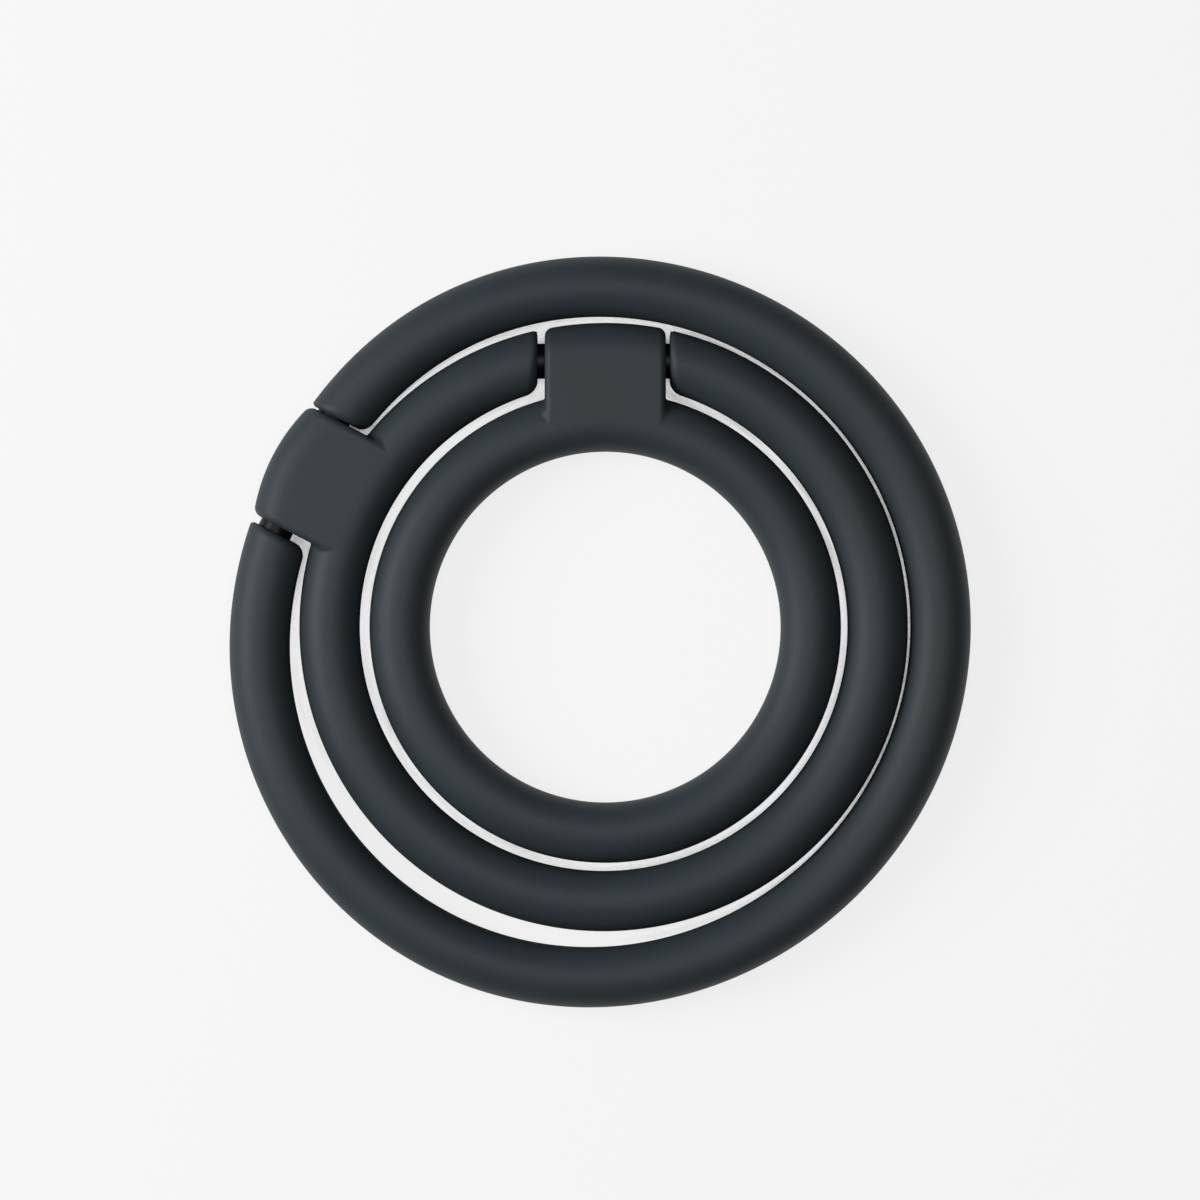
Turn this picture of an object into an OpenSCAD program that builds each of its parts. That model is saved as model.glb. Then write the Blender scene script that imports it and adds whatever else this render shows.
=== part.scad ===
// Folding trivet: three nested rings, silicone over a nylon core, joined by two hinges.
// Each hinge block belongs to the smaller ring. It fills a gap in the next ring, whose two ends
// turn on a steel axle that runs through the block.
// The rings lie on the table at z = 0, and the origin is below the middle of the outer ring.

/* [Rings] */
// Diameter of the round section that every ring has
tube_d = 15; // [12.5:0.5:18]
// Radius of the inner ring, to the middle of its section
inner_r = 51; // [42.5:0.5:62]
// Gap between one ring and the next
ring_gap = 2; // [1.6:0.1:4]
// How far the outer ring is sprung longer along its axle, and shorter across it
outer_spring = 0.8; // [0:0.1:1]

/* [Hinges] */
// Width of a hinge block, along its axle
block_w = 30; // [25:0.5:36]
// Gap between a hinge block and the ring end on either side of it
side_gap = 1.4; // [1.1:0.1:2]
// How far the inner ring sits along its axle, off the middle of its play
inner_slide = 0.4; // [-0.7:0.1:0.7]
// How far the outer ring sits along its axle, off the middle of its play
outer_slide = 0.7; // [-0.7:0.1:0.7]
// Direction from the middle of the rings to the inner hinge
inner_hinge_dir = 90; // [0:5:355]
// Angle from the inner hinge round to the outer hinge
hinge_step = 62.5; // [60:2.5:180]

/* [Cores] */
// Thickness of the silicone over a core
skin_t = 2; // [1.6:0.1:2.6]
// Thickness of the silicone over the end of a core
lip_t = 1.2; // [1:0.1:2]
// Film of primer that bonds silicone to nylon
bond_t = 0.05; // [0.03:0.01:0.1]
// Diameter of the hollow inside a core
hollow_d = 5; // [3:0.5:5.5]
// Thickness of the ribs that divide the hollow
rib_t = 3; // [2:0.5:5]
// Nylon round the pocket that a bush sits in
boss_t = 1; // [0.8:0.1:1.2]

/* [Axles and bushes] */
// Diameter of a hinge axle
axle_d = 4; // [3:0.5:4.5]
// Thickness of a bush's sleeve
sleeve_t = 1; // [0.8:0.1:1.2]
// Length of a bush's sleeve
sleeve_l = 5; // [4:0.5:6]
// Diameter of a bush's head, which shows as a black collar in the hinge gap
head_d = 8.7; // [8:0.1:9.5]
// How far a bush's head reaches into the side of the block
head_in = 1; // [0.8:0.1:1.2]
// Clearance round the axle in its bushes
run_play = 0.05; // [0.03:0.01:0.1]
// Clearance round a piece that is pressed or moulded in place
seat_play = 0.02; // [0.01:0.01:0.05]
// Clearance round a bush's head in the block
head_play = 0.4; // [0.3:0.05:0.6]
// Room past the end of an axle
end_play = 1.3; // [1:0.1:2]

/* [Hidden] */

// Ring sizes
pitch = tube_d + ring_gap;
middle_r = inner_r + pitch;
outer_r = middle_r + pitch;
core_d = tube_d - 2 * skin_t;

// Places along an axle, from the middle of its block
end_x = block_w / 2 + side_gap;          // end face of a ring
seat_x = end_x + lip_t;                  // end face of its core
sleeve_x = seat_x + sleeve_l;            // end of a bush's sleeve
axle_x = sleeve_x - end_play / 2;        // end of the axle
pocket_x = axle_x + end_play + side_gap / 2;
boss_x = pocket_x + boss_t;
hollow_x = boss_x + boss_t;
sleeve_d = axle_d + 2 * run_play + 2 * sleeve_t;
boss_d = sleeve_d + 2 * seat_play + 2 * boss_t;

// A sprung ring is an oval of four arcs, whose centres lie arc_off from its own centre
function arc_off(spring) = 2 * spring / (2 - sqrt(2));
// Distance from a ring's centre to the axle that both of its end faces are centred on
function axle_y(r, spring) =
    sqrt(pow(r - spring + arc_off(spring), 2) - pow(end_x, 2)) - arc_off(spring);
inner_axle_y = axle_y(middle_r, 0);
outer_axle_y = axle_y(outer_r, 0);

// Centre of the middle ring: the sprung outer ring sits off it by its slide and by its spring
outer_hinge_dir = inner_hinge_dir + hinge_step;
outer_turn = outer_hinge_dir - 90;
nest_x = outer_slide;
nest_y = axle_y(outer_r, outer_spring) - outer_axle_y;
reach = 3 * outer_r;                     // past everything

// Sides of a small circle and of a whole ring, where OpenSCAD draws them
section_fn = 64;
ring_fn = 180;

silicone = "#41474b";
nylon = "#26282b";
acetal = "#0e0f10";
steel = "#b9bdc1";

// Frames: in each of them the hinge lies towards +Y and its axle runs along X
module on_outer() translate([0, 0, tube_d / 2]) rotate([0, 0, outer_turn]) children();
module on_outer_hinge() on_outer() translate([nest_x, nest_y, 0]) children();
module on_inner_hinge() on_outer_hinge() rotate([0, 0, -hinge_step]) children();
module on_inner() on_inner_hinge() translate([inner_slide, 0, 0]) children();

module across(x, d, h) translate([x, 0, 0]) rotate([0, 90, 0]) cylinder(d = d, h = h, $fn = section_fn);
module both_ends() for (side = [0, 1]) mirror([side, 0, 0]) children();

// Round section of diameter d: whole, or only its upper (side 1) or lower (side -1) half
module section(d, side = 0) {
    if (side == 0)
        circle(d = d, $fn = section_fn);
    else intersection() {
        circle(d = d, $fn = section_fn);
        translate([-d, side > 0 ? 0 : -d]) square([2 * d, d]);
    }
}

// Closed ring of section d, sprung into an oval where asked. A rib angle leaves a gap of that
// size at each of the four places where the oval's arcs meet.
module ring(r, d, spring = 0, side = 0, rib = 0) {
    off = arc_off(spring);
    if (spring == 0 && rib == 0)
        rotate_extrude($fn = ring_fn) translate([r, 0]) section(d, side);
    else for (quarter = [0:3]) {
        long_way = quarter % 2 == 0 ? 1 : -1;
        rotate([0, 0, 90 * quarter]) translate([long_way * off, 0, 0])
            rotate([0, 0, (rib - 90) / 2])
                rotate_extrude(angle = 90 - rib, $fn = ring_fn)
                    translate([r + long_way * (spring - off), 0]) section(d, side);
    }
}

// Hollow inside a core: four chambers with a rib between each two
module chambers(r, spring = 0) ring(r, hollow_d, spring, 0, rib_t / r * 180 / PI);

// Everything on the hinge side that lies within x of the middle of the axle
module hinge_slot(x) translate([-x, 0, -tube_d]) cube([2 * x, reach, 2 * tube_d]);

// Flat block from a ring out to the line of the next one, where its edge is round
module block(r, w, d, side = 0) intersection() {
    rotate([0, 0, 45]) rotate_extrude(angle = 90, $fn = ring_fn) {
        translate([r, side > 0 ? 0 : -d / 2]) square([pitch, side == 0 ? d : d / 2]);
        translate([r + pitch, 0]) section(d, side);
    }
    hinge_slot(w / 2);
}

// A core, whole or halved, is drawn at its own outline, or grown by the bond film to cut
// the silicone
module inner_core_body(side = 0, grow = 0) {
    ring(inner_r, core_d + 2 * grow, 0, side);
    block(inner_r, block_w - 2 * skin_t + 2 * grow, core_d + 2 * grow, side);
}

module open_ring_core(r, spring, side, grow) {
    difference() {
        ring(r, core_d + 2 * grow, spring, side);
        hinge_slot(seat_x - grow);
    }
    translate([0, axle_y(r, spring), 0]) both_ends()
        boss(seat_x - grow, boss_d + 2 * grow, boss_x - seat_x + 2 * grow, side);
}

// Sleeve of nylon round a bush, whole or halved like the core that it belongs to
module boss(x, d, h, side) {
    if (side == 0)
        across(x, d, h);
    else intersection() {
        across(x, d, h);
        translate([x - h, -d, side > 0 ? 0 : -d]) cube([3 * h, 2 * d, d]);
    }
}

module middle_core_body(side = 0, grow = 0) {
    rotate([0, 0, -hinge_step]) open_ring_core(middle_r, 0, side, grow);
    block(middle_r, block_w - 2 * skin_t + 2 * grow, core_d + 2 * grow, side);
}

module outer_core_body(side = 0, grow = 0) open_ring_core(outer_r, outer_spring, side, grow);

// What the bushes and the axle take out of a pair of ring ends
module bush_pockets() both_ends() {
    across(0, sleeve_d + 2 * seat_play, sleeve_x + seat_play);
    across(0, axle_d + 2 * head_play, pocket_x);
}
module head_holes() both_ends() across(0, head_d + 2 * bond_t, seat_x + bond_t);
module head_recesses() both_ends()
    across(block_w / 2 - skin_t - bond_t, head_d + 2 * head_play, skin_t + side_gap);
module axle_seat() across(-block_w / 2, axle_d + 2 * seat_play, block_w);

module inner_core(side) color(nylon) on_inner() difference() {
    inner_core_body(side);
    chambers(inner_r);
    translate([0, inner_axle_y, 0]) axle_seat();
}

module middle_core(side) color(nylon) on_outer_hinge() difference() {
    middle_core_body(side);
    rotate([0, 0, -hinge_step]) {
        difference() {
            chambers(middle_r);
            hinge_slot(hollow_x);
        }
        translate([0, inner_axle_y, 0]) bush_pockets();
    }
    translate([0, outer_axle_y, 0]) axle_seat();
}

module outer_core(side) color(nylon) on_outer() difference() {
    outer_core_body(side);
    difference() {
        chambers(outer_r, outer_spring);
        hinge_slot(hollow_x);
    }
    translate([0, axle_y(outer_r, outer_spring), 0]) bush_pockets();
}

module inner_cover() color(silicone) on_inner() difference() {
    union() {
        ring(inner_r, tube_d);
        block(inner_r, block_w, tube_d);
    }
    inner_core_body(0, bond_t);
    translate([0, inner_axle_y, 0]) head_recesses();
}

module middle_cover() color(silicone) on_outer_hinge() difference() {
    union() {
        rotate([0, 0, -hinge_step]) difference() {
            ring(middle_r, tube_d);
            hinge_slot(end_x);
        }
        block(middle_r, block_w, tube_d);
    }
    middle_core_body(0, bond_t);
    rotate([0, 0, -hinge_step]) translate([0, inner_axle_y, 0]) head_holes();
    translate([0, outer_axle_y, 0]) head_recesses();
}

module outer_cover() color(silicone) on_outer() difference() {
    ring(outer_r, tube_d, outer_spring);
    hinge_slot(end_x);
    outer_core_body(0, bond_t);
    translate([0, axle_y(outer_r, outer_spring), 0]) head_holes();
}

module inner_core_upper() inner_core(1);
module inner_core_lower() inner_core(-1);
module middle_core_upper() middle_core(1);
module middle_core_lower() middle_core(-1);
module outer_core_upper() outer_core(1);
module outer_core_lower() outer_core(-1);

module axle() color(steel) across(-axle_x, axle_d, 2 * axle_x);

// Bush: a sleeve in the core, and a head that bridges the gap to the block
module bush() color(acetal) difference() {
    head_x = block_w / 2 - head_in;
    union() {
        across(head_x, head_d, seat_x - head_x);
        across(head_x, sleeve_d, sleeve_x - head_x);
    }
    across(0, axle_d + 2 * run_play, reach);
}

module inner_hinge_axle() on_inner() translate([0, inner_axle_y, 0]) axle();
module inner_hinge_bush_right() on_inner_hinge() translate([0, inner_axle_y, 0]) bush();
module inner_hinge_bush_left() on_inner_hinge() translate([0, inner_axle_y, 0])
    mirror([1, 0, 0]) bush();
module outer_hinge_axle() on_outer_hinge() translate([0, outer_axle_y, 0]) axle();
module outer_hinge_bush_right() on_outer()
    translate([0, axle_y(outer_r, outer_spring), 0]) bush();
module outer_hinge_bush_left() on_outer()
    translate([0, axle_y(outer_r, outer_spring), 0]) mirror([1, 0, 0]) bush();

inner_cover();
inner_core_upper();
inner_core_lower();
inner_hinge_axle();
middle_cover();
middle_core_upper();
middle_core_lower();
inner_hinge_bush_left();
inner_hinge_bush_right();
outer_hinge_axle();
outer_cover();
outer_core_upper();
outer_core_lower();
outer_hinge_bush_left();
outer_hinge_bush_right();
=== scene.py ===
# %% [markdown]
# # A folding trivet of nested silicone rings
#
# The real object is a pot stand. Its rings have a round section, and each is a nylon core with
# silicone moulded over it. A flat block grows out of the inner ring and fills a gap in the middle
# ring, and the middle ring has a block that fills a gap in the outer one. A steel axle runs through
# each block into the two ring ends beside it, so every ring can swing up and over its neighbour.
#
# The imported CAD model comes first. It already holds every piece at its real size and place, so the
# rest of this lesson only measures it and gives it its looks.

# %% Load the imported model
import math

import bpy
import mathutils
import numpy as np
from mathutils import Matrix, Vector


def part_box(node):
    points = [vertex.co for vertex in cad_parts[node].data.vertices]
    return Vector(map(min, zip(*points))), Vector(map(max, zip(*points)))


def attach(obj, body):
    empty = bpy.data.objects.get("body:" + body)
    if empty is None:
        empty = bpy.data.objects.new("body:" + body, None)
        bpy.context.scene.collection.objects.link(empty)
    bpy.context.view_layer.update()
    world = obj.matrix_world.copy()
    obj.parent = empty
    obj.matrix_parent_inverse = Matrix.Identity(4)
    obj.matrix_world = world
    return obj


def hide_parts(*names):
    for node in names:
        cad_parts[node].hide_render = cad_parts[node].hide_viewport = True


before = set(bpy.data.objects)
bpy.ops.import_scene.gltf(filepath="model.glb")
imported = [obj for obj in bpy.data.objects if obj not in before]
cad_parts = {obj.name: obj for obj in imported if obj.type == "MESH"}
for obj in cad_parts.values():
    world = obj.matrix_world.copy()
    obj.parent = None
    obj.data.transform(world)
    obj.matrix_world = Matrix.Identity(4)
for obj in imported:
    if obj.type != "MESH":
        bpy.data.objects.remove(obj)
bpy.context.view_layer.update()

print("nodes:", ", ".join(sorted(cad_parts)))

# %% [markdown]
# ## Measure the frame
#
# Shapes are worked out in millimetres, because that is how a toolmaker thinks of them, and turned
# into metres when a mesh is made. Every size that the CAD model can tell is read from it: the
# thickness of the rings from a cover's height, their radii and centres from the covers' boxes, and
# the axles from the joints. A size that no box shows, such as the width of a block, is named here
# with the value that the CAD model has.

# %% Sizes in millimetres
MM = 1000.0


def node_box(name):
    """Lowest and highest corner of a CAD node, in millimetres."""
    low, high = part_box(name)
    return np.array(low) * MM, np.array(high) * MM


inner_low, inner_high = node_box("inner_cover")
middle_low, middle_high = node_box("middle_cover")
outer_low, outer_high = node_box("outer_cover")
left_bush_low, _ = node_box("inner_hinge_bush_left")
_, right_bush_high = node_box("inner_hinge_bush_right")

tube_r = (inner_high[2] - inner_low[2]) / 2
mid_z = (inner_high[2] + inner_low[2]) / 2
inner_r = (inner_high[0] - inner_low[0]) / 2 - tube_r
inner_centre = np.array([(inner_low[0] + inner_high[0]) / 2, inner_low[1] + inner_r + tube_r])
middle_x = (left_bush_low[0] + right_bush_high[0]) / 2
middle_r = middle_high[0] - middle_x - tube_r
middle_centre = np.array([middle_x, middle_low[1] + middle_r + tube_r])
pitch = middle_r - inner_r
outer_r = middle_r + pitch
outer_centre = (outer_low[:2] + outer_high[:2]) / 2

block_w = 30.0  # width of a hinge block along its axle
side_gap = 1.4  # gap between a block and each ring end beside it
outer_spring = 0.8  # how far the outer ring is sprung into an oval
inner_hinge_dir = math.radians(90)
outer_hinge_dir = math.radians(152.5)
end_x = block_w / 2 + side_gap
print(f"section {2 * tube_r:.2f}, radii {inner_r:.2f} {middle_r:.2f} {outer_r:.2f} mm")
print("centres", inner_centre.round(2), middle_centre.round(2), outer_centre.round(2))

# %% [markdown]
# ## Distance fields, the recipe for soft moulded forms
#
# Silicone parts have no sharp outside edges: the mould gives each one a small radius. A distance
# field makes such forms easy. It is a function that says how far a point is from the surface,
# negative inside. The larger of two fields is the part they share, the smaller is both together,
# and rounding that choice gives an edge radius or a fillet. The alternative, a bevel on joined
# meshes, breaks up where a flat block grows out of a round ring.

# %% Fields for a ring, a block and a cut
def round_max(a, b, radius):
    """Both fields at once: the larger of the two, with the outside edge between them rounded.
    Formula: min(max(a, b), -r) + length(max(a + r, 0), max(b + r, 0))."""
    corner = np.hypot(np.maximum(a + radius, 0), np.maximum(b + radius, 0))
    return np.minimum(np.maximum(a, b), -radius) + corner


def round_min(a, b, radius):
    """Either field: the smaller of the two, with a fillet in the inside corner between them.
    Formula: max(min(a, b), r) - length(max(r - a, 0), max(r - b, 0))."""
    corner = np.hypot(np.maximum(radius - a, 0), np.maximum(radius - b, 0))
    return np.maximum(np.minimum(a, b), radius) - corner


def turned(points, direction):
    """Coordinates across and along a direction: across is its right-hand side, seen from above."""
    c, s = math.cos(direction), math.sin(direction)
    along = points[..., 0] * c + points[..., 1] * s
    across = points[..., 0] * s - points[..., 1] * c
    return across, along


def ring_field(points, radius):
    """Distance to a ring of round section: length(length(x, y) - R, z) - tube radius."""
    return np.hypot(np.hypot(points[..., 0], points[..., 1]) - radius, points[..., 2]) - tube_r


def block_field(points, radius, direction, edge, bulge):
    """A hinge block: a flat slab with round edges from one ring's line to the next one's, less
    bulge * (across / half width)^2, cut by two planes that stand block_w apart, with those two
    cuts rounded by edge."""
    across, along = turned(points, direction)
    reach = np.hypot(points[..., 0], points[..., 1])
    far_line = radius + pitch - bulge * np.minimum((2 * across / block_w) ** 2, 1)
    slab = np.hypot(reach - np.clip(reach, radius, far_line), points[..., 2]) - tube_r
    cut = round_max(slab, np.abs(across) - block_w / 2, edge)
    return np.maximum(cut, -along)


print("fields: ring, block, rounded cut and fillet")

# %% [markdown]
# ## The three covers as fields
#
# The inner cover is a closed ring with its block. The middle one is cut open at the inner hinge and
# has a block at the outer hinge, and the outer one is only cut open. The ends of an open ring are
# soft: hardly rounded on the outside of the bend, where they line up with the block, and well
# rounded on the inside, where they would rub on the ring that carries the block.

# %% Cover fields
BLOCK_EDGE = 1.7  # radius along the two sides of a block
BLOCK_FILLET = 0.5  # fillet where a block's side meets its ring, at mid-height
BLOCK_SOFT = 2.0  # how much larger the fillet gets towards the top and the underside
OUTER_BULGE = 1.2  # how much the outer block's far edge falls back towards its corners
END_EDGE = 1.8  # radius round a ring end, at its top
END_SWING = 1.0  # how much less that is outside the bend, and more inside


def fillet_radius(points, radius):
    """Fillet between a ring and its block, by o = (length(x, y) - R) / r, from 0 over the crown to
    1 at the outside of the bend: BLOCK_FILLET + BLOCK_SOFT * (1 - o), but at most the ring's drop
    below the flat, r * (1 - sqrt(1 - o^2)), so that nothing swells where both share a surface."""
    outside = np.clip((np.hypot(points[..., 0], points[..., 1]) - radius) / tube_r, 0, 1)
    drop = tube_r * (1 - np.sqrt(1 - outside**2))
    return np.minimum(drop, BLOCK_FILLET + BLOCK_SOFT * (1 - outside))


def cut_open(field, points, radius, direction, half_gap):
    """Opens a ring at a hinge: takes away all that lies within half_gap of the block's middle.
    The edge radius runs from END_EDGE - END_SWING outside the bend to the sum inside."""
    across, along = turned(points, direction)
    bend = np.clip((np.hypot(points[..., 0], points[..., 1]) - radius) / tube_r, -1, 1)
    gap = np.where(along > 0, half_gap - np.abs(across), -pitch)
    return round_max(field, gap, END_EDGE - END_SWING * bend)


def inner_field(p):
    """Inner cover: ring and block."""
    block = block_field(p, inner_r, inner_hinge_dir, BLOCK_EDGE, 0.0)
    return round_min(ring_field(p, inner_r), block, fillet_radius(p, inner_r))


def middle_field(p):
    """Middle cover: ring, open at the inner hinge, and the block of the outer hinge."""
    block = block_field(p, middle_r, outer_hinge_dir, BLOCK_EDGE, OUTER_BULGE)
    whole = round_min(ring_field(p, middle_r), block, fillet_radius(p, middle_r))
    return cut_open(whole, p, middle_r, inner_hinge_dir, end_x)


# The outer ring is made round and bent into its oval afterwards, which draws its ends together
outer_end_x = end_x * outer_r / (outer_r - outer_spring)


def outer_field(p):
    """Outer cover: ring, open at the outer hinge."""
    return cut_open(ring_field(p, outer_r), p, outer_r, outer_hinge_dir, outer_end_x)


print(f"cover fields, edges {BLOCK_EDGE} and {END_EDGE} mm")

# %% [markdown]
# ## A skin from rays
#
# A field has no faces yet. The usual way to get them is a grid of small cubes, which leaves facets
# all over a smooth ring. Here a grid of rays is better: each ring has stations along its line, and
# from each station rays go out all round the section, until the field says that they have reached
# the surface. That gives clean rows of four-sided faces, like the ones a modeller would lay by
# hand. Where a block stands out, the start of the outward rays slides out with it, so that the flat
# top gets its share of faces. At an open end, the last rows of rays swing over from the section
# to the end face, and they close it in one point.

# %% Rays and stations
SECTION_RAYS = 120
RAY_LENGTH = 30.0  # longer than any ray's way to the surface
HALVINGS = 34  # they leave an error of under a millionth of a millimetre
SLIDE_FROM = math.radians(115)  # rays nearer to outwards than this start further out
SLIDE_OVER = math.radians(50)  # over this much of a turn the start slides all the way
COARSE_STEP = 1.25  # degrees between stations round the ring
FLAT_STEP = 0.6  # degrees between them across a block
FINE_STEP = 0.11  # degrees between them past the sides of a block
FINE_INSIDE = 2.5  # degrees that the fine stations reach in over a block's far corners
FINE_OUTSIDE = 3.5  # degrees that they run on past where its sides meet the ring


def ray_hits(field, origin, heading):
    """How far along each ray the field changes sign, found by halving the stretch it lies in."""
    near = np.zeros(heading.shape[:-1])
    far = np.full(heading.shape[:-1], RAY_LENGTH)
    for _ in range(HALVINGS):
        middle = (near + far) / 2
        inside = field(origin + heading * middle[..., None]) < 0
        near = np.where(inside, middle, near)
        far = np.where(inside, far, middle)
    return origin + heading * near[..., None]


def block_reach(angle, radius, direction):
    """How far a block stands out past the ring, seen from the ring's centre at an angle: up to
    pitch across its top, and along its sides what the line across = block_w / 2 leaves."""
    off = np.abs((angle - direction + math.pi) % (2 * math.pi) - math.pi)
    side = block_w / 2 / np.sin(np.clip(off, 1e-6, math.pi / 2))
    return np.clip(np.minimum(side, radius + pitch + tube_r) - radius - tube_r, 0, pitch)


def section_points(field, radius, angle, reach):
    """Rows of surface points: one row for each station angle, SECTION_RAYS points in each.
    Rays that point outwards start at the far end of the block's reach, those that point inwards
    start on the ring's line, and the start slides in between them."""
    turn = 2 * math.pi * np.arange(SECTION_RAYS) / SECTION_RAYS
    off = np.abs((turn + math.pi) % (2 * math.pi) - math.pi)
    slide = np.clip((SLIDE_FROM - off) / SLIDE_OVER, 0, 1)
    out = np.stack([np.cos(angle), np.sin(angle), np.zeros_like(angle)], -1)[:, None, :]
    up = np.array([0.0, 0.0, 1.0])
    heading = out * np.cos(turn)[None, :, None] + up * np.sin(turn)[None, :, None]
    start = radius + reach[:, None] * slide[None, :]
    return ray_hits(field, out * start[..., None], heading)


def even_angles(start, stop, step):
    """Angles from start to stop, both included, about step apart, all in degrees."""
    return np.linspace(start, stop, int(round((stop - start) / step)) + 1)


def station_angles(start, stop, direction, radius):
    """Station angles in radians: coarse round the ring, and fine past the sides of a block."""
    if direction is None:
        return np.radians(even_angles(start, stop, COARSE_STEP))
    middle = math.degrees(direction)
    near = math.degrees(math.asin(block_w / 2 / (radius + pitch + tube_r))) - FINE_INSIDE
    far = math.degrees(math.asin(block_w / 2 / (radius + tube_r))) + FINE_OUTSIDE
    stretches = [
        even_angles(start, middle - far, COARSE_STEP),
        even_angles(middle - far, middle - near, FINE_STEP),
        even_angles(middle - near, middle + near, FLAT_STEP),
        even_angles(middle + near, middle + far, FINE_STEP),
        even_angles(middle + far, stop, COARSE_STEP),
    ]
    return np.radians(np.concatenate([s[:-1] for s in stretches] + [stretches[-1][-1:]]))


print(f"{SECTION_RAYS} rays round each section")

# %% [markdown]
# ## Open ends
#
# The last station stands some way inside the ring end. From its centre the rays swing over by up to
# a quarter turn, towards the middle of the end face. More of them are spent where they meet the
# rounded edge, because a small radius needs several rows to look round.

# %% Rows that close an open end
CAP_ROWS = 34
CAP_SLOWING = 0.06  # how much closer the rows lie at the rounded edge, under 1 / (4 pi)
END_INSET = 7.0  # distance from the end face to the last station


def end_angle(radius, half_gap, inset):
    """Angle from the hinge's direction at which the ring's line is inset past the end face."""
    return math.asin((half_gap + inset) / radius)


def cap_rows(field, radius, direction, half_gap, side):
    """Rows of surface points from the last station to the middle of the end face, and that middle.
    side is +1 for the end that lies on the hinge's anticlockwise side, -1 for the other."""
    last = direction + side * end_angle(radius, half_gap, END_INSET)
    out = np.array([math.cos(last), math.sin(last), 0.0])
    across_axis = np.array([math.sin(direction), -math.cos(direction), 0.0])
    along_axis = np.array([math.cos(direction), math.sin(direction), 0.0])
    face = -side * half_gap * across_axis + math.sqrt(radius**2 - half_gap**2) * along_axis
    station = radius * out
    axis = (face - station) / np.linalg.norm(face - station)
    share = np.arange(1, CAP_ROWS) / CAP_ROWS
    swing = math.pi / 2 * (share + CAP_SLOWING * np.sin(4 * math.pi * share))
    turn = 2 * math.pi * np.arange(SECTION_RAYS) / SECTION_RAYS
    ring = (out[None, :] * np.cos(turn)[:, None]
            + np.array([0.0, 0.0, 1.0])[None, :] * np.sin(turn)[:, None])
    heading = (np.cos(swing)[:, None, None] * ring[None]
               + np.sin(swing)[:, None, None] * axis[None, None, :])
    heading /= np.linalg.norm(heading, axis=-1, keepdims=True)
    rows = ray_hits(field, np.broadcast_to(station, heading.shape), heading)
    pole = ray_hits(field, station[None, :], axis[None, :])[0]
    return rows, pole


print(f"{CAP_ROWS} rows over each open end")

# %% [markdown]
# ## From rows to a mesh
#
# The rows become one list of vertices, and each face joins four neighbours. A closed ring joins its
# last row to its first. An open one gets a fan of triangles at each end. The volume that the faces
# enclose tells which way they point, so a skin that came out inside out is turned round.

# %% Make the mesh
def grid_faces(rows, closed):
    """Four-sided faces of a grid of rows, each row closed on itself; closed joins the rows too."""
    row = np.arange(rows if closed else rows - 1)
    col = np.arange(SECTION_RAYS)
    a, b = np.meshgrid(row, col, indexing="ij")
    a2, b2 = (a + 1) % rows, (b + 1) % SECTION_RAYS
    corners = [a * SECTION_RAYS + b, a2 * SECTION_RAYS + b,
               a2 * SECTION_RAYS + b2, a * SECTION_RAYS + b2]
    return np.stack(corners, -1).reshape(-1, 4)


def fan_faces(row_start, pole, flip):
    """Triangles from one row of points to a pole."""
    col = np.arange(SECTION_RAYS)
    fan = np.stack([row_start + col, row_start + (col + 1) % SECTION_RAYS,
                    np.full(SECTION_RAYS, pole)], -1)
    return fan[:, ::-1] if flip else fan


def enclosed_volume(points, quads):
    """Six times the volume inside the faces, by the sum of a . (b x c) over their triangles."""
    a, b, c, d = (points[quads[:, i]] for i in range(4))
    return np.einsum("ij,ij->", a, np.cross(b, c)) + np.einsum("ij,ij->", a, np.cross(c, d))


def skin_mesh(name, rows, poles=()):
    """A mesh object from rows of points in millimetres, with a pole past the first row and
    another past the last one if the skin is open."""
    points = np.concatenate([rows.reshape(-1, 3), *[np.array(p)[None] for p in poles]])
    quads = grid_faces(len(rows), closed=not poles)
    inside_out = enclosed_volume(points, quads) < 0
    if inside_out:
        quads = quads[:, ::-1]
    faces = quads.tolist()
    if poles:
        base = len(rows) * SECTION_RAYS
        faces += fan_faces(0, base, inside_out).tolist()
        faces += fan_faces(base - SECTION_RAYS, base + 1, not inside_out).tolist()
    mesh = bpy.data.meshes.new(name)
    mesh.from_pydata((points / MM).tolist(), [], faces)
    mesh.polygons.foreach_set("use_smooth", [True] * len(mesh.polygons))
    mesh.update()
    piece = bpy.data.objects.new(name, mesh)
    bpy.context.scene.collection.objects.link(piece)
    print(f"{name}: {len(points)} points, {len(faces)} faces")
    return piece


def place(rows, centre):
    """Moves points from a ring's own centre to its place on the table."""
    return rows + np.array([centre[0], centre[1], mid_z])


# %% [markdown]
# ## The inner cover
#
# This is the one ring that is closed. Its block carries a flat top, level with the crown of the
# ring, and its far edge is as round as the rings are. The flat stays plain.

# %% Inner cover
inner_angles = station_angles(-90, 270, inner_hinge_dir, inner_r)[:-1]
inner_rows = section_points(inner_field, inner_r, inner_angles,
                            block_reach(inner_angles, inner_r, inner_hinge_dir))
inner_skin = skin_mesh("inner_ring_silicone", place(inner_rows, inner_centre))
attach(inner_skin, "inner_ring")
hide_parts("inner_cover")

# %% [markdown]
# ## The middle cover
#
# The middle ring runs from one end, past its own block, round to the other end. Its rows are the
# cap of the first end, the stations, and the cap of the last end the other way round.

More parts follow.
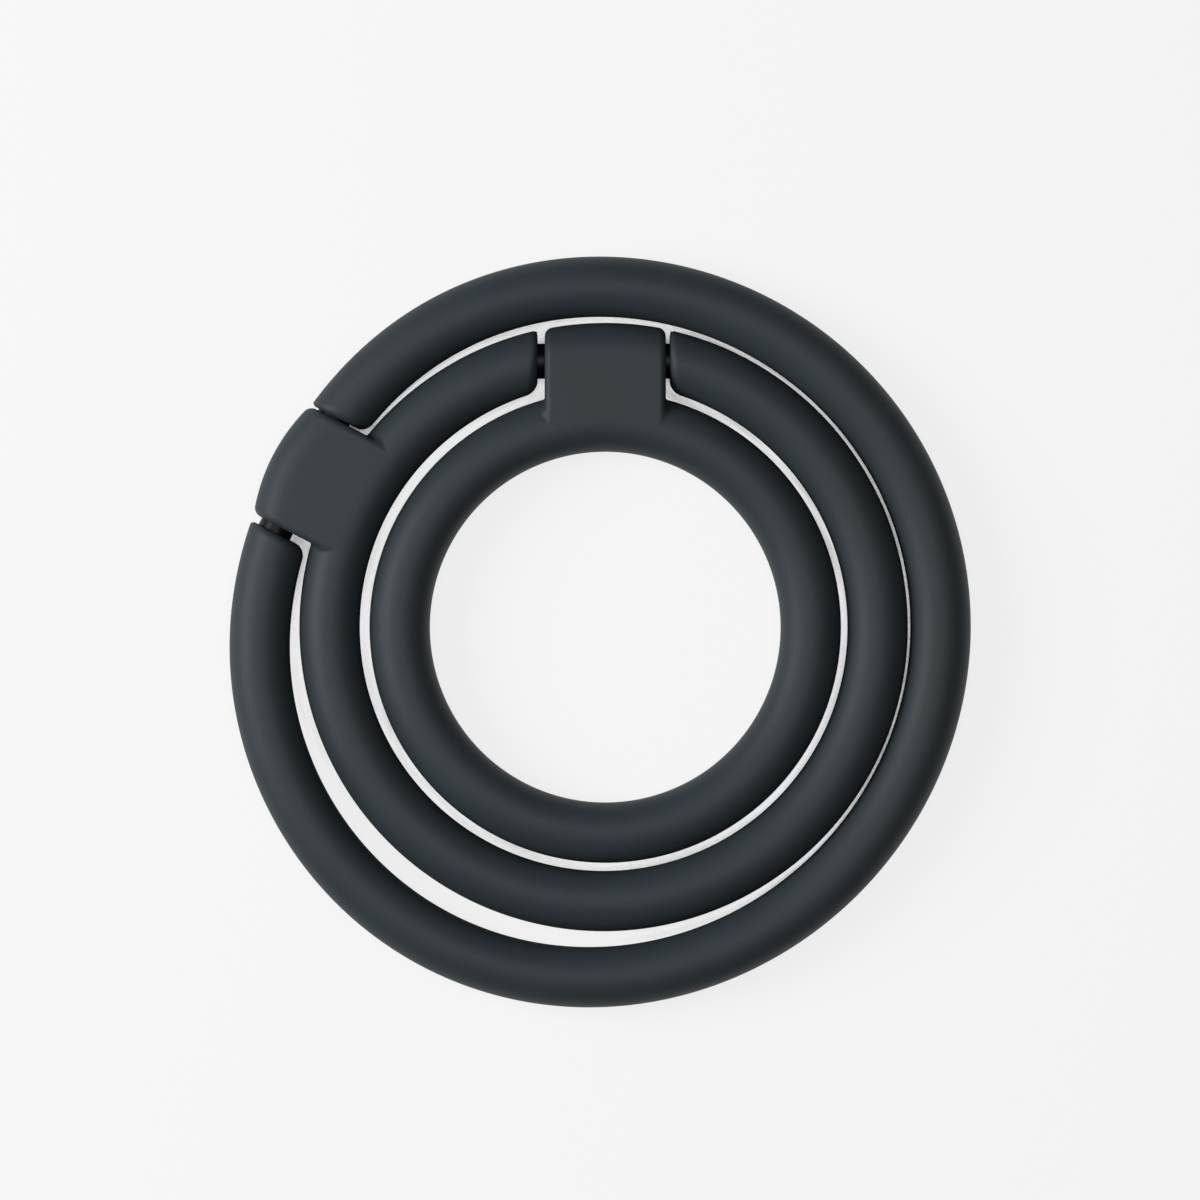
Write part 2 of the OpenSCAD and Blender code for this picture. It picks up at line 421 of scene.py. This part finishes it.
# %% Middle cover
def open_skin(name, field, radius, opening, half_gap, block_at, bend, centre):
    """The skin of an open ring, from one end to the other, bent by bend(rows) and put in place."""
    first, first_pole = cap_rows(field, radius, opening, half_gap, 1)
    last, last_pole = cap_rows(field, radius, opening, half_gap, -1)
    start = math.degrees(opening + end_angle(radius, half_gap, END_INSET))
    stop = 360 + math.degrees(opening - end_angle(radius, half_gap, END_INSET))
    angles = station_angles(start, stop, block_at, radius)
    reach = np.zeros_like(angles)
    if block_at is not None:
        reach = block_reach(angles, radius, block_at)
    body = section_points(field, radius, angles, reach)
    rows = np.concatenate([first[::-1], body, last])
    poles = [place(bend(p), centre) for p in (first_pole, last_pole)]
    return skin_mesh(name, place(bend(rows), centre), poles)


middle_skin = open_skin("middle_ring_silicone", middle_field, middle_r, inner_hinge_dir, end_x,
                        outer_hinge_dir, lambda rows: rows, middle_centre)
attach(middle_skin, "middle_ring")
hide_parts("middle_cover")

# %% [markdown]
# ## The outer cover
#
# The outer ring isn't quite round. Its two ends are sprung over the axle, which makes the ring a
# little longer along that axle than across it, and the play in the hinge lets it lean to one side.
# The pull of the hinge also draws the ends in, to about 1.3 mm inside those of the CAD ring, while
# the rest of the ring gives outwards a little. All of these are smooth moves of the points, to or
# from the ring's centre.

# %% Outer cover
LEAN = 1.3  # how far the ring is pushed out on one side and in on the other
GIVE = 0.2  # how far the ring gives outwards
DRAW = 1.7  # how far the hinge draws it in, at its middle
DRAW_ANGLE = math.radians(28)  # how far from the hinge that reaches


def sprung(points):
    """Moves points outwards by lean * sin(a)^3 - spring * cos(2 a) + give - draw * exp(-(a / w)^2),
    where a is the angle from the hinge's direction and w is DRAW_ANGLE."""
    angle = np.arctan2(points[..., 1], points[..., 0]) - outer_hinge_dir
    from_hinge = (angle + math.pi) % (2 * math.pi) - math.pi
    out = LEAN * np.sin(from_hinge) ** 3 - outer_spring * np.cos(2 * from_hinge)
    out += GIVE - DRAW * np.exp(-(from_hinge / DRAW_ANGLE) ** 2)
    scale = 1 + out / np.hypot(points[..., 0], points[..., 1])
    return points * np.stack([scale, scale, np.ones_like(scale)], -1)


outer_skin = open_skin("outer_ring_silicone", outer_field, outer_r, outer_hinge_dir, outer_end_x,
                       None, sprung, outer_centre)
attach(outer_skin, "outer_ring")
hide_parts("outer_cover")

# %% [markdown]
# ## Materials
#
# Colours are written as a designer reads them off a colour card, as sRGB hex values, and one
# function turns them into the linear numbers that a shader wants. Another small function adds any
# node with its settings and its links.

# %% Colour and node helpers
def colour(hex_value):
    """sRGB hex to linear RGBA."""
    parts = [int(hex_value[i:i + 2], 16) / 255 for i in (1, 3, 5)]
    linear = [p / 12.92 if p <= 0.04045 else ((p + 0.055) / 1.055) ** 2.4 for p in parts]
    return (*linear, 1.0)


def add_node(tree, kind, settings=None, inputs=None):
    """Adds a node. settings are its own fields; inputs are numbers, colours or output sockets."""
    made = tree.nodes.new(kind)
    for field, value in (settings or {}).items():
        setattr(made, field, value)
    for socket, value in (inputs or {}).items():
        if isinstance(value, bpy.types.NodeSocket):
            tree.links.new(value, made.inputs[socket])
        else:
            made.inputs[socket].default_value = value
    return made


def new_material(name):
    """An empty node material and its output node."""
    material = bpy.data.materials.new(name)
    material.use_nodes = True
    material.node_tree.nodes.clear()
    tree = material.node_tree
    return material, tree, add_node(tree, "ShaderNodeOutputMaterial")


print("colour card check, mid grey:", [round(c, 3) for c in colour("#808080")[:3]])

# %% [markdown]
# ## Moulded silicone
#
# Silicone for hot pans is pressed in a steel mould whose walls are spark-eroded, so the skin comes
# out with a very fine, even grain that scatters light: a matte, slightly velvety slate grey with
# only a broad highlight. Its colour drifts a little, in soft patches a few centimetres across.
# Where the two mould halves met, at mid-height, a hair-thin line stays all round. The line is part
# of the surface's height, so it sits in the bump with the grain.

# %% Silicone material
GRAIN = 0.35 / MM  # spark-eroded grain; the real one is finer, about 0.05 mm, and wouldn't show
PATCH = 22 / MM  # size of the soft patches of colour
PARTING_WIDTH = 0.16 / MM
PARTING_HEIGHT = 0.05 / MM
GRAIN_HEIGHT = 0.04 / MM


def silicone():
    """Matte moulded silicone with eroded grain, faint patches and a parting line."""
    material, tree, output = new_material("moulded silicone")
    place_on = add_node(tree, "ShaderNodeTexCoord").outputs["Object"]
    patches = add_node(tree, "ShaderNodeTexNoise", None,
                       {"Vector": place_on, "Scale": 1 / PATCH, "Detail": 2.0})
    tint = add_node(tree, "ShaderNodeMix", {"data_type": "RGBA"}, {
        "Factor": patches.outputs["Fac"], "A": colour("#353d42"), "B": colour("#3c464b")})
    grain = add_node(tree, "ShaderNodeTexNoise", None,
                     {"Vector": place_on, "Scale": 1 / GRAIN, "Detail": 3.0, "Roughness": 0.6})
    dull = add_node(tree, "ShaderNodeMapRange", None, {
        "Value": patches.outputs["Fac"], "To Min": 0.50, "To Max": 0.60})
    height = add_node(tree, "ShaderNodeSeparateXYZ", None, {"Vector": place_on}).outputs["Z"]
    off = add_node(tree, "ShaderNodeMath", {"operation": "SUBTRACT"},
                   {0: height, 1: mid_z / MM}).outputs[0]
    away = add_node(tree, "ShaderNodeMath", {"operation": "ABSOLUTE"}, {0: off}).outputs[0]
    line = add_node(tree, "ShaderNodeMapRange", {"interpolation_type": "SMOOTHSTEP"}, {
        "Value": away, "From Min": 0.0, "From Max": PARTING_WIDTH,
        "To Min": PARTING_HEIGHT, "To Max": 0.0}).outputs["Result"]
    raised = add_node(tree, "ShaderNodeBump", None, {
        "Height": line, "Strength": 1.0, "Distance": 1.0}).outputs["Normal"]
    rough = add_node(tree, "ShaderNodeBump", None, {
        "Height": grain.outputs["Fac"], "Strength": 0.10, "Distance": GRAIN_HEIGHT,
        "Normal": raised}).outputs["Normal"]
    shader = add_node(tree, "ShaderNodeBsdfPrincipled", None, {
        "Base Color": tint.outputs["Result"], "Roughness": dull.outputs["Result"],
        "IOR": 1.41, "Normal": rough})
    tree.links.new(shader.outputs["BSDF"], output.inputs["Surface"])
    return material


silicone_finish = silicone()
for skin in (inner_skin, middle_skin, outer_skin):
    skin.data.materials.append(silicone_finish)
print("silicone on", [skin.name for skin in (inner_skin, middle_skin, outer_skin)])

# %% [markdown]
# ## Bushes, axles and cores
#
# The bushes are turned from black acetal, a hard and slightly waxy plastic with an uneven satin
# sheen. The axles are ground stainless steel, whose fine scratches vary its gloss. The cores are
# black nylon with glass fibre, which makes the surface mottled. The CAD shapes are right, so each
# keeps its mesh and only gets its finish.

# %% Materials of the small pieces
def acetal():
    """Black acetal, satin, with a faint waxy mottling."""
    material, tree, output = new_material("turned acetal")
    place_on = add_node(tree, "ShaderNodeTexCoord").outputs["Object"]
    wax = add_node(tree, "ShaderNodeTexNoise", None,
                   {"Vector": place_on, "Scale": MM / 1.5, "Detail": 2.0})
    sheen = add_node(tree, "ShaderNodeMapRange", None, {
        "Value": wax.outputs["Fac"], "To Min": 0.34, "To Max": 0.46})
    shader = add_node(tree, "ShaderNodeBsdfPrincipled", None, {
        "Base Color": colour("#070808"), "Roughness": sheen.outputs["Result"], "IOR": 1.48,
        "Specular IOR Level": 0.3})
    tree.links.new(shader.outputs["BSDF"], output.inputs["Surface"])
    return material


def ground_steel():
    """Stainless steel rod, ground, with fine scratches of varied gloss."""
    material, tree, output = new_material("ground stainless steel")
    place_on = add_node(tree, "ShaderNodeTexCoord").outputs["Object"]
    scratches = add_node(tree, "ShaderNodeTexNoise", None,
                         {"Vector": place_on, "Scale": MM / 0.4, "Detail": 4.0})
    gloss = add_node(tree, "ShaderNodeMapRange", None, {
        "Value": scratches.outputs["Fac"], "To Min": 0.22, "To Max": 0.38})
    shader = add_node(tree, "ShaderNodeBsdfPrincipled", None, {
        "Base Color": colour("#c4c6c8"), "Metallic": 1.0,
        "Roughness": gloss.outputs["Result"]})
    tree.links.new(shader.outputs["BSDF"], output.inputs["Surface"])
    return material


def glass_nylon():
    """Black glass-filled nylon: fibres near the surface mottle its colour and its gloss."""
    material, tree, output = new_material("glass-filled nylon")
    place_on = add_node(tree, "ShaderNodeTexCoord").outputs["Object"]
    fibres = add_node(tree, "ShaderNodeTexNoise", None,
                      {"Vector": place_on, "Scale": MM / 0.8, "Detail": 5.0})
    tint = add_node(tree, "ShaderNodeMix", {"data_type": "RGBA"}, {
        "Factor": fibres.outputs["Fac"], "A": colour("#1b1c1e"), "B": colour("#2a2c2e")})
    gloss = add_node(tree, "ShaderNodeMapRange", None, {
        "Value": fibres.outputs["Fac"], "To Min": 0.42, "To Max": 0.62})
    shader = add_node(tree, "ShaderNodeBsdfPrincipled", None, {
        "Base Color": tint.outputs["Result"], "Roughness": gloss.outputs["Result"],
        "IOR": 1.53})
    tree.links.new(shader.outputs["BSDF"], output.inputs["Surface"])
    return material


finishes = {"bush": acetal(), "axle": ground_steel(), "core": glass_nylon()}
for name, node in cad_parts.items():
    for word, finish in finishes.items():
        if word in name:
            node.data.materials.clear()
            node.data.materials.append(finish)
            print(f"{name}: {finish.name}")

# %% [markdown]
# ## Table
#
# The trivet lies on a plain pale surface that has two looks. Most of what the camera sees of it is a
# white glow, and the rest is paper that takes a light shadow. Light that bounces meets mid-grey
# paper only, so the sides of the rings stay deep where they face each other. A glow would also shine
# up through the narrowest slots, where a real table is dark. An Ambient Occlusion node finds how
# much open sky a point of the table has, and the glow is taken away where there is next to none.
# This is painted shade: dark slots for the camera, and a darker table near the rings in mirrored light.

# %% Table
TABLE_SIZE = 4.0  # in metres
TABLE_WHITE = 0.80  # share of glow in what the camera sees, the rest takes shadows
SLOT_DEPTH = 0.03  # how far up the table looks for something that covers it, in metres
SLOT_RAYS = 16  # few, so one that gets out is enough for white, and the render averages many tries
# The four shares below set where painted shade dims the table's glow: in narrow slots for the camera,
# near the rings in mirrored light
SLOT_DARK = 0.02  # share of open sky at which the table is dark to the camera
SLOT_WHITE = 0.05  # share from which it is white to the camera
MIRROR_DARK = 0.12  # share at which it is dark in mirrored light
MIRROR_WHITE = 0.6  # share from which it is white in mirrored light


def table_material():
    """Near-white to the camera with a light shadow and painted shade in the narrow slots, and a mid
    grey for light that bounces.
    """
    material, tree, output = new_material("pale table")
    path = add_node(tree, "ShaderNodeLightPath").outputs
    seen = add_node(tree, "ShaderNodeMath", {"operation": "MAXIMUM"}, {
        0: path["Is Camera Ray"], 1: path["Is Glossy Ray"]}).outputs[0]
    share = add_node(tree, "ShaderNodeMath", {"operation": "MULTIPLY"},
                     {0: seen, 1: TABLE_WHITE}).outputs[0]
    # Painted shade: ambient occlusion dims the table's glow where little open sky reaches it
    open_sky = add_node(tree, "ShaderNodeAmbientOcclusion", {"samples": SLOT_RAYS},
                        {"Distance": SLOT_DEPTH}).outputs["AO"]
    dark_to = add_node(tree, "ShaderNodeMapRange", None, {
        "Value": path["Is Camera Ray"], "To Min": MIRROR_DARK, "To Max": SLOT_DARK}).outputs["Result"]
    white_from = add_node(tree, "ShaderNodeMapRange", None, {
        "Value": path["Is Camera Ray"], "To Min": MIRROR_WHITE, "To Max": SLOT_WHITE}).outputs["Result"]
    white = add_node(tree, "ShaderNodeMapRange", None, {
        "Value": open_sky, "From Min": dark_to, "From Max": white_from}).outputs["Result"]
    shade = add_node(tree, "ShaderNodeMix", {"data_type": "RGBA"}, {
        "Factor": path["Is Camera Ray"], "A": colour("#6e6e6e"), "B": colour("#fafafa")})
    paper = add_node(tree, "ShaderNodeBsdfDiffuse", None, {"Color": shade.outputs["Result"]})
    glow = add_node(tree, "ShaderNodeEmission", None,
                    {"Color": (1.0, 1.0, 1.0, 1.0), "Strength": white})
    mixed = add_node(tree, "ShaderNodeMixShader", None, {
        "Fac": share, 1: paper.outputs["BSDF"], 2: glow.outputs["Emission"]})
    tree.links.new(mixed.outputs["Shader"], output.inputs["Surface"])
    return material


half = TABLE_SIZE / 2
table_mesh = bpy.data.meshes.new("table")
table_mesh.from_pydata([(-half, -half, 0), (half, -half, 0), (half, half, 0), (-half, half, 0)],
                       [], [(0, 1, 2, 3)])
table = bpy.data.objects.new("table", table_mesh)
bpy.context.scene.collection.objects.link(table)
table.data.materials.append(table_material())
print("table", TABLE_SIZE, "m across")


# %% [markdown]
# ## Lamps and room light
#
# One broad soft lamp on the left models the round sections: light on the side that faces it, and
# nearly black on the other side wherever a neighbouring ring keeps the light of the room away. A
# weaker and very wide lamp overhead shows the flat tops of the blocks. The room adds a little light
# from all round, and the camera sees it white.

# %% Lamps and room light
def soft_lamp(name, place_at, size, power):
    """A square area lamp at a place in metres, turned to the middle of the trivet."""
    lamp = bpy.data.lights.new(name, "AREA")
    lamp.shape = "SQUARE"
    lamp.size = size
    lamp.energy = power
    made = bpy.data.objects.new(name, lamp)
    made.location = place_at
    aim = -np.array(place_at) / np.linalg.norm(place_at)
    made.rotation_mode = "QUATERNION"
    made.rotation_quaternion = mathutils.Vector(aim).to_track_quat("-Z", "Y")
    made.visible_camera = False
    bpy.context.scene.collection.objects.link(made)
    print(f"{name}: {power} W over {size} m")


soft_lamp("left lamp", place_at=(-1.1, 0.15, 0.80), size=0.8, power=12.0)
soft_lamp("overhead lamp", place_at=(0.0, 0.1, 1.7), size=1.0, power=6.5)

ROOM_LIGHT = 0.05  # strength at which the room lights the trivet

world = bpy.data.worlds.new("room")
world.use_nodes = True
world.node_tree.nodes.clear()
room_path = add_node(world.node_tree, "ShaderNodeLightPath").outputs
room_light = add_node(world.node_tree, "ShaderNodeMapRange", None, {
    "Value": room_path["Is Camera Ray"], "To Min": ROOM_LIGHT, "To Max": 1.0})
room = add_node(world.node_tree, "ShaderNodeBackground", None, {
    "Color": (1.0, 1.0, 1.0, 1.0), "Strength": room_light.outputs["Result"]})
add_node(world.node_tree, "ShaderNodeOutputWorld", None, {"Surface": room.outputs["Background"]})
bpy.context.scene.world = world
bpy.context.scene.view_settings.view_transform = "Standard"

# %% [markdown]
# ## Camera
#
# A long lens from well above keeps the perspective weak, so the rings look equally thick all round.
# The trivet sits a little low in the view, with white all round it.

# %% Camera
FRAME_WIDTH = 0.2978  # width that the view spans at the rings' mid-height
CAMERA_HEIGHT = 1.5
CAMERA_OFF = (0.0001, 0.0070)  # the middle of the view, from the part's origin

lens = bpy.data.cameras.new("camera")
lens.sensor_width = 36.0
lens.lens = lens.sensor_width * (CAMERA_HEIGHT - mid_z / MM) / FRAME_WIDTH
camera = bpy.data.objects.new("camera", lens)
camera.location = (CAMERA_OFF[0], CAMERA_OFF[1], CAMERA_HEIGHT)
bpy.context.scene.collection.objects.link(camera)
bpy.context.scene.camera = camera
print(f"lens {lens.lens:.0f} mm, looking straight down from {CAMERA_HEIGHT} m")
